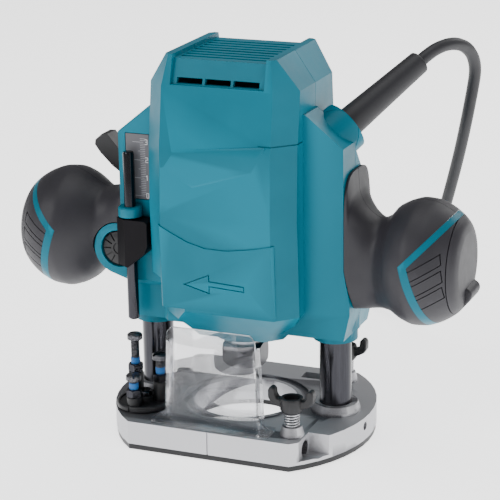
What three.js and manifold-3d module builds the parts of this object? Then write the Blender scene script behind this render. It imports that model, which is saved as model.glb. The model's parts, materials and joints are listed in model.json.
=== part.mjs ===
// Compact two-handed plunge router: motor head on two columns over a cast base.
// Millimetres, +Z up, front faces -Y. The origin is on the floor under the spindle.
import * as THREE from "three";
import { mergeVertices } from "three/addons/utils/BufferGeometryUtils.js";
import Module from "manifold-3d";

const wasm = await Module();
wasm.setup();

// ---- driving dimensions ----
const GAP = 0.3;              // clearance between touching pieces
const SIDES = [["left", -1], ["right", 1]];
const BASE_R = 73;            // round ends of the base
const BASE_FLAT = 56;         // flats of the base, front and back
const SOLE_H = 2.8;           // black sole plate
const BASE_TOP = 16;          // top face of the casting
const BIT_HOLE_R = 29;        // hole that the bit passes through
const ROD_BORE_R = 4.6;       // bores for the edge guide's rods
const ROD_BORE_Y = 43;
const ROD_BORE_Z = 9;
const COLUMN_X = 53.2;
const COLUMN_R = 8.8;
const COLUMN_TOP = 124;
const SLEEVE_R = 12.3;
const SLEEVE_Z = 58;          // lowest edge of the head
const BORE_TOP = 161;
const BODY_W = 42.4;          // half width of the motor housing
const WALL = 2.8;
const FLANK_FRONT = -19.2;    // front faces of the flanks that carry the columns
const HEAD_TOP = 215;
const TURRET = [-49, -30];
const TURRET_R = 15;
const POST_CIRCLE = 9.5;
const STOP_ROD = [-56.4, -24];
const STOP_ROD_R = 3.1;
const WING_BOLT = [44, 43];
const BASE_SEAT_BOTTOM = 8.3; // columns stand in blind holes in the base
const COUNTERBORE_R = 36;     // stepped ring round the bit hole
const SOLE_SCREWS = [[-30, 44], [-66, 12], [66, 12], [33, -51]];
const HOUSING_SCREWS = [[-36, 99], [36, 99], [-36, 178], [36, 178]];   // x, z
const WHEEL_RING_R = 14.6;
const WHEEL = [-66.8, 101.5];   // x, z of the depth stop's clamp wheel
const LEVER_Z = 139;          // height of the plunge lock's axis
const SHAFT_LOCK = [-20, 84]; // x, z of the shaft-lock button
const KNOB_Z = 106.5;
const KNOB_R = 34;
const COLLAR = new THREE.Vector3(54.8, 7.5, 173);      // middle of the cord collar's mouth
const COLLAR_END = 2.5;       // how far the collar's rim stands beyond that
const CORD_DIR = new THREE.Vector3(0.52, 0.68, 0.52).normalize();
const GUARD_L = 58;
const CORD_R = 3.5;
const COIL = [-70, 205];      // middle of the stored coil on the floor
const COIL_MEAN_R = 38;
const COIL_HALF_W = 10.2;
const COIL_H = 29;

// ---- materials ----
const finish = (color, roughness, metalness = 0) =>
  new THREE.MeshStandardMaterial({ color, roughness, metalness });
const TEAL = finish(0x087f92, 0.42);
const GRIP = finish(0x2b2b30, 0.6);
const BLACK = finish(0x1b1b1e, 0.5);
const CAST = finish(0xa9a9ae, 0.45, 0.8);
const STEEL = finish(0x9a9da2, 0.3, 1);
const DARK_STEEL = finish(0x3a3c42, 0.28, 0.9);
const CLEAR = finish(0xdcdce2, 0.1);
const GREY = finish(0x6d6f74, 0.5);
const COPPER = finish(0xb87333, 0.4, 1);
const CARBON = finish(0x303030, 0.8);
const RUBBER = finish(0x202024, 0.7);

// ---- solids ----
function solid(geometry) {
  geometry.deleteAttribute("normal");
  geometry.deleteAttribute("uv");
  const g = mergeVertices(geometry, 1e-4);
  return new wasm.Manifold(new wasm.Mesh({
    numProp: 3,
    vertProperties: new Float32Array(g.attributes.position.array),
    triVerts: new Uint32Array(g.index.array),
  }));
}
const join = (first, ...rest) => rest.reduce((a, b) => a.add(b), first);
const cut = (first, ...rest) => rest.reduce((a, b) => a.subtract(b), first);

function box(x0, x1, y0, y1, z0, z1) {
  const g = new THREE.BoxGeometry(x1 - x0, y1 - y0, z1 - z0);
  return solid(g.translate((x0 + x1) / 2, (y0 + y1) / 2, (z0 + z1) / 2));
}

// A round bar between two points, with a radius at each end.
function bar(from, to, r0, r1 = r0, sides = 16) {
  const a = new THREE.Vector3(...from);
  const b = new THREE.Vector3(...to);
  const g = new THREE.CylinderGeometry(r1, r0, a.distanceTo(b), sides);
  const up = new THREE.Vector3(0, 1, 0);
  g.applyQuaternion(new THREE.Quaternion().setFromUnitVectors(up, b.clone().sub(a).normalize()));
  return solid(g.translate((a.x + b.x) / 2, (a.y + b.y) / 2, (a.z + b.z) / 2));
}
const post = (x, y, z0, z1, r, sides = 16) => bar([x, y, z0], [x, y, z1], r, r, sides);

// A profile of [radius, z] pairs turned about an upright axis.
function turned(x, y, profile, sides = 24) {
  const g = new THREE.LatheGeometry(profile.map(([r, z]) => new THREE.Vector2(r, z)), sides);
  return solid(g.rotateX(Math.PI / 2).translate(x, y, 0));
}

const outline = (points) => new THREE.Shape(points.map(([u, v]) => new THREE.Vector2(u, v)));

// An outline in plan, raised from z0 to z1.
function slab(points, z0, z1) {
  const g = new THREE.ExtrudeGeometry(outline(points), { depth: z1 - z0, bevelEnabled: false });
  return solid(g.translate(0, 0, z0));
}

// An outline of [x, z] pairs, carried along Y from y0 to y1.
function panel(points, y0, y1) {
  const g = new THREE.ExtrudeGeometry(outline(points), { depth: y1 - y0, bevelEnabled: false });
  return solid(g.rotateX(Math.PI / 2).translate(0, y1, 0));
}

// Closed skin through rings of points that all have the same count.
function loft(rings) {
  const n = rings[0].length;
  const p = rings.flat(2);
  const index = [];
  for (let k = 0; k + 1 < rings.length; k++) {
    for (let i = 0; i < n; i++) {
      const a = k * n + i;
      const b = k * n + (i + 1) % n;
      index.push(a, b, b + n, a, b + n, a + n);
    }
  }
  const last = (rings.length - 1) * n;
  for (let i = 1; i + 1 < n; i++) {
    index.push(0, i + 1, i, last, last + i, last + i + 1);
  }
  return new wasm.Manifold(new wasm.Mesh({
    numProp: 3,
    vertProperties: new Float32Array(p),
    triVerts: new Uint32Array(index),
  }));
}

// A helical wire, for the coil springs.
function helix(x, y, z0, z1, r, wire, turns, steps = 6, sides = 3) {
  class Helix extends THREE.Curve {
    getPoint(t) {
      const a = 2 * Math.PI * turns * t;
      const z = z0 + wire + (z1 - z0 - 2 * wire) * t;
      return new THREE.Vector3(x + r * Math.cos(a), y + r * Math.sin(a), z);
    }
  }
  const ring = Array.from({ length: sides }, (_, i) => {
    const a = 2 * Math.PI * (i + 0.5) / sides;
    return [wire * Math.cos(a), wire * Math.sin(a)];
  });
  return solid(new THREE.ExtrudeGeometry(outline(ring), {
    steps: turns * steps, bevelEnabled: false, extrudePath: new Helix(),
  }));
}

const router = new THREE.Group();
function piece(name, body, material) {
  const m = body.getMesh();
  const g = new THREE.BufferGeometry();
  g.setAttribute("position", new THREE.BufferAttribute(m.vertProperties, 3));
  g.setIndex(new THREE.BufferAttribute(m.triVerts, 1));
  const mesh = new THREE.Mesh(g, material);
  mesh.name = name;
  router.add(mesh);
}

// ---- base ----
function basePlan(inset) {
  const r = BASE_R - inset;
  const flat = BASE_FLAT - inset;
  const corner = Math.asin(flat / r);
  const points = [];
  for (const start of [-corner, Math.PI - corner]) {
    for (let i = 0; i <= 14; i++) {
      const a = start + 2 * corner * i / 14;
      points.push([r * Math.cos(a), r * Math.sin(a)]);
    }
  }
  return points;
}

function baseCasting() {
  let body = slab(basePlan(0), SOLE_H + GAP, BASE_TOP);
  const bitHole = post(0, 0, 0, 30, BIT_HOLE_R, 36);
  body = cut(body, bitHole, post(0, 0, BASE_TOP - 1.4, 30, COUNTERBORE_R, 36));
  // raised lip round the hole
  body = body.add(cut(post(0, 0, BASE_TOP - 2, BASE_TOP - 0.4, BIT_HOLE_R + 2.5, 36), bitHole));
  for (const [, s] of SIDES) {
    const seat = turned(s * COLUMN_X, 0, [[0, 10], [13.6, 10], [13.6, 18], [12.2, 21], [0, 21]]);
    body = cut(body.add(seat), post(s * COLUMN_X, 0, 8, 30, COLUMN_R + GAP, 24));
  }
  for (const s of [-1, 1]) {
    const [x, y] = WING_BOLT;
    const boss = turned(x, s * y, [[0, 10], [6.6, 10], [6.6, 17], [5.4, 21.5], [0, 21.5]], 16);
    const [inner, outer] = [12, 90].map((end) => [end, s * ROD_BORE_Y, ROD_BORE_Z]);
    const bore = bar(inner, outer, ROD_BORE_R, ROD_BORE_R, 14);
    body = cut(body.add(boss), bore, post(x, s * y, ROD_BORE_Z, 30, 2.9, 12));
  }
  // step in the right front corner where the guide rod enters, and the hollow behind
  body = cut(body, box(51, 90, -60, -37, 5, 30), box(18, 40, 38.5, 47.5, 8, 30));
  // small drilled boss at the rear left and the set screw's hole in the right rim
  body = body.add(turned(-41, 31, [[0, 12], [6.4, 12], [6.4, 17.5], [4.4, 24], [0, 24]], 14));
  body = cut(body, post(-41, 31, 14, 30, 2, 12), bar([64, -6, 11], [90, -8.4, 11], 2.4, 2.4, 10));
  // hole of the turret's screw and the index mark in the front flat
  body = cut(body, post(...TURRET, 10, 30, 3.3, 16), box(-0.4, 0.4, -60, -BASE_FLAT + 0.7, 3, 30));
  return cut(body, ...SOLE_SCREWS.map(([x, y]) => post(x, y, 0, 12, 1.9, 8)));
}

function solePlate() {
  const countersink = [[0, -1], [3.4, -1], [3.4, 1.4], [1.9, 2.9], [1.9, 4], [0, 4]];
  const holes = SOLE_SCREWS.map(([x, y]) => turned(x, y, countersink, 8));
  return cut(slab(basePlan(0.4), 0, SOLE_H), post(0, 0, -1, 5, BIT_HOLE_R + 1, 36), ...holes);
}

function column(s) {
  const body = turned(s * COLUMN_X, 0, [[0, BASE_SEAT_BOTTOM], [COLUMN_R, BASE_SEAT_BOTTOM],
    [COLUMN_R, COLUMN_TOP - 1], [COLUMN_R - 1, COLUMN_TOP], [0, COLUMN_TOP]]);
  return cut(body, post(s * COLUMN_X, 0, 60, COLUMN_TOP + 1, 6.6, 16));
}

function wingBolt(s) {
  const [x, y0] = WING_BOLT;
  const y = s * y0;
  const stem = post(x, y, 14, 30, 2.5, 16);
  const hub = turned(x, y, [[0, 29], [5, 29], [6.4, 31], [6.4, 36], [6, 37.6], [3.4, 37.6],
    [3.2, 34], [0, 34]], 16);
  const ear = [[3, 31.2], [9.4, 33], [12.6, 35.4], [12.9, 39.5], [11.6, 42.6], [9.6, 42.4],
    [8.4, 39], [6.6, 36.6], [3, 36]];
  const ears = SIDES.map(([, e]) => panel(ear.map(([u, v]) => [x + e * u, v]), y - 2.6, y + 2.6));
  return join(stem, hub, ...ears);
}

function chipGuard() {
  // front sheet, two side returns and a foot, in one clear moulding
  const front = [[-27.5, 18], [27.5, 18], [25.4, 68], [22.6, 71], [-22.6, 71], [-25.4, 68]];
  const hollow = [[-25.9, 15], [25.9, 15], [23.9, 68], [21.6, 69.6], [-21.6, 69.6], [-23.9, 68]];
  const shell = panel(front, -49, -41.2);
  const inner = panel(hollow, -47.5, -39);
  const top = box(-30, 30, -47.5, -39, 62, 80);
  const foot = cut(box(-34, 34, -54, -41.2, BASE_TOP + GAP, 18.2),
    box(-25.9, 25.9, -47.5, -39, 10, 30));
  const gusset = (e) => panel([[e * 26.5, 18], [e * 33, 18], [e * 26.6, 24]], -49, -47.4);
  return join(cut(shell, inner, top), foot, gusset(-1), gusset(1));
}

// ---- turret with three stop bolts ----
// angle about the turret, top of the post, top of the bolt's head
const turretPosts = [
  { name: "tall", angle: 141, top: 33, head: 55 },
  { name: "short", angle: 261, top: 24, head: 37 },
  { name: "middle", angle: 21, top: 30, head: 46 },
].map((p) => {
  const a = p.angle * Math.PI / 180;
  return { ...p, x: TURRET[0] + POST_CIRCLE * Math.cos(a), y: TURRET[1] + POST_CIRCLE * Math.sin(a) };
});

function turret() {
  const disc = turned(...TURRET, [[0, BASE_TOP + GAP], [TURRET_R, BASE_TOP + GAP], [TURRET_R, 18.6],
    [TURRET_R - 0.8, 19.6], [0, 19.6]], 28);
  const hub = post(...TURRET, 18, 22, 5.6, 24);
  const posts = turretPosts.map((p) => post(p.x, p.y, 18, p.top, 4.1, 12));
  const holes = turretPosts.map((p) => post(p.x, p.y, 20, 60, 2.8, 8));
  return cut(join(disc, hub, ...posts), post(...TURRET, 10, 30, 3, 16), ...holes);
}

const turretScrew = () => join(post(...TURRET, 12, 22.4, 2.6, 14),
  post(...TURRET, 22.3, 25, 4.6, 20));

function stopBolt(p) {
  const shank = post(p.x, p.y, 20.5, p.head - 3, 2.4, 8);
  const head = post(p.x, p.y, p.head - 3.4, p.head, 4.3, 6);
  const slot = box(p.x - 0.6, p.x + 0.6, p.y - 6, p.y + 6, p.head - 1.2, p.head + 1);
  return cut(join(shank, head), slot);
}
const stopNut = (p) => cut(post(p.x, p.y, p.top + GAP, p.top + 4.3, 4.4, 6),
  post(p.x, p.y, 0, 90, 2.75, 8));

// ---- head ----
// Plan of the motor housing at one height: an octagon with the front and back given apart.
function octagon(w, front, back, chamfer, z) {
  const c = chamfer;
  return [[-w + c, -front], [w - c, -front], [w, -front + c], [w, back - c],
    [w - c, back], [-w + c, back], [-w, back - c], [-w, -front + c]].map(([x, y]) => [x, y, z]);
}
// half width, front, back, chamfer, z
const BODY_LEVELS = [
  [27, 19, 19, 8, 57], [33, 25, 25, 10, 63.5], [BODY_W, 37.5, 36, 11, 76.3],
  [BODY_W, 40, 40, 11, 130], [BODY_W, 38.6, 40, 11, 165], [BODY_W, 33.6, 37, 11, 198.6],
  [31.2, 29, 33, 2.4, HEAD_TOP],
];
// The housing's outside moved inwards by inset, its ends by floor and roof.
const bodyLoft = (inset, floor, roof) => loft(BODY_LEVELS.map(([w, f, b, c, z], level) => {
  const shift = level === 0 ? floor : level === BODY_LEVELS.length - 1 ? -roof : 0;
  return octagon(w - inset, f - inset, b - inset, c - inset * 0.4, z + shift);
}));

// The flank that carries a column: sloping top, waisted below.
const flank = (s, inset) => panel([
  ...(s < 0 ? [[24, 63 + inset], [59.6 - inset, 63 + inset], [59.6 - inset, 84 + inset]]
    : [[24, 63 + inset], [64.6 - inset, 63 + inset], [68 - inset, 78], [68 - inset, 84]]),
  [64.6 - inset, 102],
  [64.6 - inset, 168.4 - inset], [43.6, 185.4 - inset * 1.3], [24, 186 - inset],
].map(([x, z]) => [s * x, z]), FLANK_FRONT + inset, 20 - inset);

// The top between its two side rails, sunk by depth.
const crown = (depth, half) =>
  cut(box(-half, half, -48, 45, 226.1 - half, 230), bodyLoft(depth, 0, depth + 0.4));

// Room for the turret's bolts at full depth: the front left corner and the left flank's front
// recede below the knee.
function boltRoom(grow) {
  const level = (reach, front, z) => {
    const [r, y] = [reach - grow, front + grow * 0.7];
    return [[-r - y, y], [-90, y], [-90, -70], [-18, -70], [-18, 18 - r]].map(([a, b]) => [a, b, z]);
  };
  return loft([level(57, -15.9, 50), level(57, -15.9, 82), level(57, -19.4, 85), level(72, -19.4, 95)]);
}

const along = (t) => CORD_DIR.clone().multiplyScalar(t).add(COLLAR).toArray();

function headOutside() {
  let body = cut(bodyLoft(0, 0, 0), crown(2, 26.5));
  // the cord collar stands proud of a flat across the right flank's rear corner
  const cordFlat = bar(along(-4), along(60), 34, 34, 28);
  body = join(cut(join(body, flank(-1, 0)), boltRoom(0)), cut(flank(1, 0), cordFlat));
  for (const [, s] of SIDES) {
    body = body.add(turned(s * COLUMN_X, 0, [[0, SLEEVE_Z], [SLEEVE_R, SLEEVE_Z], [SLEEVE_R, 64],
      [13.6, 64.6], [13.6, 72], [0, 72]], 24));
  }
  const [wx, wz] = WHEEL;
  const guardRing = join(bar([wx, -19.4, wz], [wx, -6, wz], WHEEL_RING_R, WHEEL_RING_R, 28),
    panel([[-78, 95], [-72.3, 87.9], [-60, 84], [-56, 84], [-56, 95]], -19.4, -6));
  const rodEye = turned(...STOP_ROD, [[0, 123], [6.6, 123], [6.6, 127.6], [6, 128.4],
    [0, 128.4]], 16);
  const eyeWeb = box(STOP_ROD[0] - 4, STOP_ROD[0] + 4, -24, -18, 123, 128);
  const nose = turned(0, 0, [[0, 54.5], [17, 54.5], [20, 57], [20, 66], [0, 66]], 28);
  return join(body, guardRing, rodEye, eyeWeb, nose, bar(along(-17), along(COLLAR_END), 14.5, 13.8, 28));
}

function headInside() {
  const parts = [cut(bodyLoft(WALL, 8, WALL), boltRoom(4), crown(4.4, 29))];   // main hollow
  for (const [, s] of SIDES) {
    parts.push(post(s * COLUMN_X, 0, 50, BORE_TOP, COLUMN_R + 0.25, 24));
  }
  const [wx, wz] = WHEEL;
  parts.push(bar([wx, -30, wz], [wx, -11.6, wz], 10.5, 10.5, 20));        // pocket of the clamp wheel
  parts.push(post(...STOP_ROD, 110, 140, STOP_ROD_R + GAP, 12));          // eye of the stop rod
  parts.push(post(0, 0, 40, 70, 11.6, 24));                               // hole for the spindle's nose
  parts.push(bar(along(-5), along(6), 9.2, 9.2, 20));                     // mouth of the cord collar
  for (let i = 0; i < 8; i++) {                                           // slots across the top
    const y = -21 + 6 * i;
    parts.push(box(-25.5, 25.5, y, y + 2.4, 206, 230));
  }
  for (const x of [-23.5, -7.5, 8.5]) {                                   // slots below the top edge
    parts.push(box(x, x + 14.5, -45, -24, 200, 203.2));
  }
  parts.push(box(-60.5, -46, -22, -17.9, 131, 168));                      // recess of the depth scale
  parts.push(bar(onButtonAxis(30), onButtonAxis(50), 5.4, 5.4, 14));      // shaft-lock button
  parts.push(box(-12, 12, 30, 50, 148, 170));                             // window of the switch lever
  return parts;
}

function cover(front) {
  const outside = headOutside();
  const keep = front ? box(-110, 110, -90, -GAP / 2, 0, 260) : box(-110, 110, GAP / 2, 90, 0, 260);
  const bosses = [];
  const drilled = [];
  for (const [x, z] of HOUSING_SCREWS) {
    const deep = front ? -34 : 36;
    bosses.push(bar([x, Math.min(deep, 0), z], [x, Math.max(deep, 0), z], 4.4, 4.4, 10));
    drilled.push(bar([x, -26, z], [x, 60, z], 1.9, 1.9, 8), bar([x, 28.7, z], [x, 60, z], 3.7, 3.7, 10));
  }
  const hollow = cut(outside, ...headInside());
  const stiffened = join(hollow, ...bosses.map((b) => b.intersect(outside)));
  return cut(stiffened.intersect(keep), ...drilled);
}

function housingScrew([x, z]) {
  const shank = bar([x, -20, z], [x, 29.6, z], 1.5, 1.5, 8);
  const body = join(shank, bar([x, 29, z], [x, 32, z], 3.1, 3.1, 12));
  return cut(body, box(x - 2.2, x + 2.2, 31, 34, z - 0.4, z + 0.4));
}

// ---- depth stop ----
const scalePlate = () => box(-60.2, -46.3, -19.2, -18.2, 131.3, 167.7);
const stopRod = () => turned(...STOP_ROD, [[0, 63.8], [STOP_ROD_R - 0.6, 63.8],
  [STOP_ROD_R, 64.6], [STOP_ROD_R, 158], [STOP_ROD_R - 0.8, 159], [0, 159]], 14);

function pointer() {
  // shield-shaped block that slides on the rod and reads against the scale
  const shield = panel([[-63.5, 96], [-56, 95], [-46, 103.5], [-44, 108], [-44, 121], [-46, 122],
    [-63.5, 122]], -30.4, -20.4);
  return cut(shield, post(...STOP_ROD, 80, 140, STOP_ROD_R + GAP, 12));
}

function clampWheel() {
  const [x, z] = WHEEL;
  const wheel = bar([x, -19, z], [x, -12, z], 9.9, 9.9, 24);
  const grooves = Array.from({ length: 12 }, (_, i) => {
    const a = Math.PI * i / 6;
    const [gx, gz] = [x + 10.3 * Math.cos(a), z + 10.3 * Math.sin(a)];
    return bar([gx, -30, gz], [gx, 0, gz], 0.9, 0.9, 4);
  });
  return cut(wheel, ...grooves);
}

// ---- knob handles ----
// x, middle z, half height, half depth
const HANDLE_RINGS = {
  left: [[62, 112, 25, 19.6], [67, 110.5, 24, 19.4], [74, 109.4, 22.6, 19], [80, 108.8, 22.4, 20.2],
    [85, 107.6, 25.2, 24.6]],
  right: [[62, 116, 38, 19.6], [66.2, 116, 38, 19.6], [67, 110.6, 32.4, 19.4],
    [69.8, 107.2, 28.8, 19.2], [75, 104.4, 26, 19.2], [80, 103.4, 24.6, 20.2], [85, 104.4, 25.8, 24]],
  knob: [[90, 106.6, 29.2, 29], [96, KNOB_Z, 32.4, 32.6], [102, KNOB_Z, KNOB_R, 34.4],
    [108, KNOB_Z, 33.6, 34], [114, KNOB_Z, 31.6, 32], [119.6, KNOB_Z, 28.4, 28.6],
    [124, KNOB_Z, 24.6, 24.6], [126.2, KNOB_Z, 21, 21], [127, KNOB_Z, 17, 17]],
};
function handleSolid(name, s) {
  const rings = [...HANDLE_RINGS[name], ...HANDLE_RINGS.knob].map(([x, zm, rz, ry]) =>
    Array.from({ length: 24 }, (_, i) => {
      const a = 2 * Math.PI * (i + 0.5) / 24;
      const sq = x < 68 ? 0.5 : x < 78 ? 0.7 : 1;  // the neck is squarer than the knob
      const pow = (v) => Math.sign(v) * Math.abs(v) ** sq;
      return [s * x, ry * pow(Math.cos(a)), zm + rz * pow(Math.sin(a))];
    }));
  return loft(s > 0 ? rings : rings.map((r) => r.reverse()));
}
// Everything outward of a V whose point faces the motor.
const beyondV = (s, shift) => panel([[101 + shift, 112.5], [121 + shift, 133.5],
  [138 + shift, 151], [150, 151], [150, 60], [108 + shift, 60], [112 + shift, 76],
].map(([x, z]) => [s * x, z]), -50, 50);

// Small thumb lip low on the end of the knob.
const lip = (s) => panel([[120, 78], [129.4, 88.6], [130.4, 91.4], [129.2, 93.4], [120, 97]]
  .map(([x, z]) => [s * x, z]), -3, 13);

function handlePieces(name, s) {
  const whole = cut(join(handleSolid(name, s), lip(s)), roomForHead(s));
  const grip = cut(whole, beyondV(s, -2.6));
  const half = (y0, y1) => grip.intersect(box(-140, 140, y0, y1, 0, 200));
  return {
    front: half(-60, -GAP / 2),
    rear: half(GAP / 2, 60),
    stripe: cut(whole.intersect(beyondV(s, -2.2)), beyondV(s, 2.4)),
    cap: whole.intersect(beyondV(s, 2.8)),
  };
}
// Room that the handle leaves for the flank and, on the left, for the clamp wheel's ring.
function roomForHead(s) {
  const [wx, wz] = WHEEL;
  const room = panel([[40, 40], [64.9, 40], [64.9, 63], [68.4, 77.6], [68.4, 84.2], [64.9, 102.3],
    [64.9, 200], [40, 200]].map(([x, z]) => [s * x, z]), -60, 60);
  return s < 0 ? join(room, bar([wx, -40, wz], [wx, -5.6, wz], WHEEL_RING_R + 0.5,
    WHEEL_RING_R + 0.5, 32)) : room;
}

// ---- plunge lock, shaft lock, switch ----
const onLeverAxis = (x) => [x, 16, LEVER_Z];
function lockLever() {
  const hub = bar(onLeverAxis(-68.6), onLeverAxis(-76), 5.8, 5.6, 16);
  const arm = panel([[-70, 134.4], [-75.6, 134.4], [-83.4, 139.8], [-90.8, 147], [-94, 151.4],
    [-93.6, 154.2], [-89.4, 157.8], [-86, 158], [-76, 146.4], [-70, 144.4]], 10.6, 21.4);
  return cut(join(hub, arm), bar(onLeverAxis(-60), onLeverAxis(-80), 3, 3, 12),
    bar(onLeverAxis(-73), onLeverAxis(-100), 4.4, 4.4, 12));
}
const lockBolt = () => join(bar(onLeverAxis(-65), onLeverAxis(-75), 2.6, 2.6, 10),
  bar(onLeverAxis(-73.4), onLeverAxis(-76.4), 3.9, 3.9, 6));

const onButtonAxis = (y) => [SHAFT_LOCK[0], y, SHAFT_LOCK[1]];
const lockButton = () => join(bar(onButtonAxis(31), onButtonAxis(45.5), 5, 4.8, 14),
  bar(onButtonAxis(29), onButtonAxis(31.4), 6.4, 6.4, 12));

function switchLever() {
  // rocker in the back of the head, hinged about its middle
  const rocker = [[34.2, 149.4], [34.2, 168.6], [41.6, 168.6], [43.8, 164], [40.6, 159], [40.6, 149.4]];
  const g = new THREE.ExtrudeGeometry(outline(rocker), { depth: 22.8, bevelEnabled: false });
  // outline is [y, z]: turn it to run along X
  g.applyMatrix4(new THREE.Matrix4().set(0, 0, 1, -11.4, 1, 0, 0, 0, 0, 1, 0, 0, 0, 0, 0, 1));
  return solid(g);
}
const switchBody = () => join(box(-10, 10, 24.4, 31.6, 144, 174), box(-3, 3, 30, 33.4, 156, 160));

// ---- motor ----
const shaft = () => turned(0, 0, [[0, 44], [5.6, 44], [9.6, 47.4], [9.6, 62], [6, 62], [6, 80],
  [5, 80], [5, 98], [4.5, 98], [4.5, 182], [3.5, 182], [3.5, 192], [0, 192]], 14);
const ring = (r0, r1, z0, z1, sides = 20) =>
  turned(0, 0, [[r0, z0], [r1, z0], [r1, z1], [r0, z1], [r0, z0]], sides);

const rotor = () => ring(4.5 + GAP, 17.5, 102, 142, 24);

function fan() {
  const hub = ring(5 + GAP, 11, 84, 93, 16);
  const disc = ring(5 + GAP, 29, 91.4, 93, 28);
  const blade = box(9, 28.6, -0.7, 0.7, 85, 92);
  const blades = Array.from({ length: 10 }, (_, i) => blade.rotate([0, 0, 36 * i]));
  return join(hub, disc, ...blades);
}

function stator() {
  const core = post(0, 0, 104, 140, 31, 28).intersect(box(-29, 29, -27, 27, 100, 150));
  return cut(core, post(0, 0, 90, 150, 18.2, 24));
}
const collet = () =>
  turned(0, 0, [[3.2, 38.6], [7.2, 38.6], [5.2, 43.6], [3.2, 43.6], [3.2, 38.6]], 12);

function colletNut() {
  const hex = post(0, 0, 36.5, 50, 13, 6);
  const cone = turned(0, 0, [[0, 36.5], [10.6, 36.5], [12.6, 38.4], [13.2, 44], [12.6, 48.6],
    [11, 50], [0, 50]], 18);
  return cut(hex.intersect(cone), post(0, 0, 44 - GAP, 60, 10, 18), post(0, 0, 36, 44.2, 7.6, 12));
}

const brush = (s) => box(...(s > 0 ? [10.6, 22] : [-22, -10.6]), -2.6, 2.6, 159, 165);
const brushHolder = (s) => cut(box(...(s > 0 ? [13, 34] : [-34, -13]), -4.4, 4.4, 157, 167),
  box(...(s > 0 ? [12, 32] : [-32, -12]), -2.9, 2.9, 158.7, 165.3));

// ---- cord ----
const guardSolid = () => {
  const flange = bar(along(-4.6), along(-1), 8.9, 8.9, 20);
  return join(flange, bar(along(-4.6), along(GUARD_L), 8.4, 6.2, 20));
};
// The cord runs straight out of the guard, turns over on a wide arc, falls behind the right
// handle and lies along the floor as far as the coil.
const CORD_ARC_R = 30;
const CORD_ARC_TURN = 115 * Math.PI / 180;
const CORD_FALL = new THREE.Vector3(-0.2, 0.25, -0.947).normalize();
const CORD_POINTS = [
  [97, 99, 162.5], [89, 110.5, 136], [78, 125, 104], [64, 144, 68], [45, 169, 36], [24, 194, 15],
  [3, 216, 5.6], [-16, 231.2, 3.9], [-31.4, 243, 3.9], [-50.5, 253.7, 3.9], [-70, 257, 3.9],
];
function cordRoute() {
  const inward = CORD_FALL.clone().addScaledVector(CORD_DIR, -CORD_FALL.dot(CORD_DIR)).normalize();
  const over = Array.from({ length: 13 }, (_, i) => {
    const turn = CORD_ARC_TURN * i / 12;
    return new THREE.Vector3(...along(GUARD_L + 4))
      .addScaledVector(CORD_DIR, CORD_ARC_R * Math.sin(turn))
      .addScaledVector(inward, CORD_ARC_R * (1 - Math.cos(turn)));
  });
  const points = [new THREE.Vector3(...along(GUARD_L + GAP)), ...over,
    ...CORD_POINTS.map((p) => new THREE.Vector3(...p))];
  return new THREE.CatmullRomCurve3(points, false, "centripetal");
}
function cordTube() {
  const section = Array.from({ length: 8 }, (_, i) => {
    const a = 2 * Math.PI * (i + 0.5) / 8;
    return [CORD_R * Math.cos(a), CORD_R * Math.sin(a)];
  });
  return solid(new THREE.ExtrudeGeometry(outline(section), {
    steps: 36, bevelEnabled: false, extrudePath: cordRoute(),
  }));
}
function coil() {
  const inner = COIL_MEAN_R - COIL_HALF_W;
  const outer = COIL_MEAN_R + COIL_HALF_W;
  return turned(...COIL, [[inner, GAP], [outer, GAP], [outer, COIL_H], [inner, COIL_H],
    [inner, GAP]], 28);
}

function plug() {
  // two-pin plug lying across the coil, its tail bent down to the top turn
  const [x, y] = COIL;
  const z = COIL_H + 7;
  const body = panel([[x - 16, z - 6.6], [x + 14, z - 6.6], [x + 18, z - 3], [x + 18, z + 3],
    [x + 14, z + 6.6], [x - 16, z + 6.6]], y + 27, y + 48);
  const tail = bar([x + 16, y + 37.5, z], [x + 36, y + 27, z - 1.8], 5.2, 4.4, 12);
  const pins = [-7, 7].map((d) => bar([x - 15, y + 37.5 + d, z], [x - 34, y + 37.5 + d, z], 2, 2, 8));
  return join(body, tail, ...pins);
}

// ---- assembly ----
piece("base_casting", baseCasting(), CAST);
piece("sole_plate", solePlate(), BLACK);
for (const [side, s] of SIDES) {
  piece(`column_${side}`, column(s), DARK_STEEL);
  const spring = helix(s * COLUMN_X, 0, 60.4, BORE_TOP - 0.4, 5.2, 0.9, 9);
  piece(`column_spring_${side}`, spring, STEEL);
}
for (const [place, s] of [["front", -1], ["rear", 1]]) {
  piece(`wing_bolt_${place}`, wingBolt(s), BLACK);
  const spring = helix(WING_BOLT[0], s * WING_BOLT[1], 21.9, 28.7, 3.9, 0.5, 4);
  piece(`wing_bolt_spring_${place}`, spring, STEEL);
}
piece("chip_guard", chipGuard(), CLEAR);
piece("turret", turret(), BLACK);
piece("turret_screw", turretScrew(), DARK_STEEL);
for (const p of turretPosts) {
  piece(`stop_bolt_${p.name}`, stopBolt(p), DARK_STEEL);
  piece(`stop_nut_${p.name}`, stopNut(p), DARK_STEEL);
}
piece("housing_front", cover(true), TEAL);
piece("housing_rear", cover(false), TEAL);
HOUSING_SCREWS.forEach((place, i) => piece(`housing_screw_${i + 1}`, housingScrew(place), STEEL));
piece("depth_scale", scalePlate(), GREY);
piece("stop_rod", stopRod(), DARK_STEEL);
piece("depth_pointer", pointer(), BLACK);
piece("clamp_wheel", clampWheel(), BLACK);
piece("lock_lever", lockLever(), BLACK);
piece("lock_bolt", lockBolt(), DARK_STEEL);
for (const [side, s] of SIDES) {
  const parts = handlePieces(side, s);
  piece(`handle_${side}_front`, parts.front, GRIP);
  piece(`handle_${side}_rear`, parts.rear, GRIP);
  piece(`handle_${side}_stripe`, parts.stripe, TEAL);
  piece(`handle_${side}_cap`, parts.cap, GRIP);
}
piece("shaft", shaft(), STEEL);
piece("rotor", rotor(), DARK_STEEL);
piece("commutator", ring(4.5 + GAP, 10, 154, 170, 24), COPPER);
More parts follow.
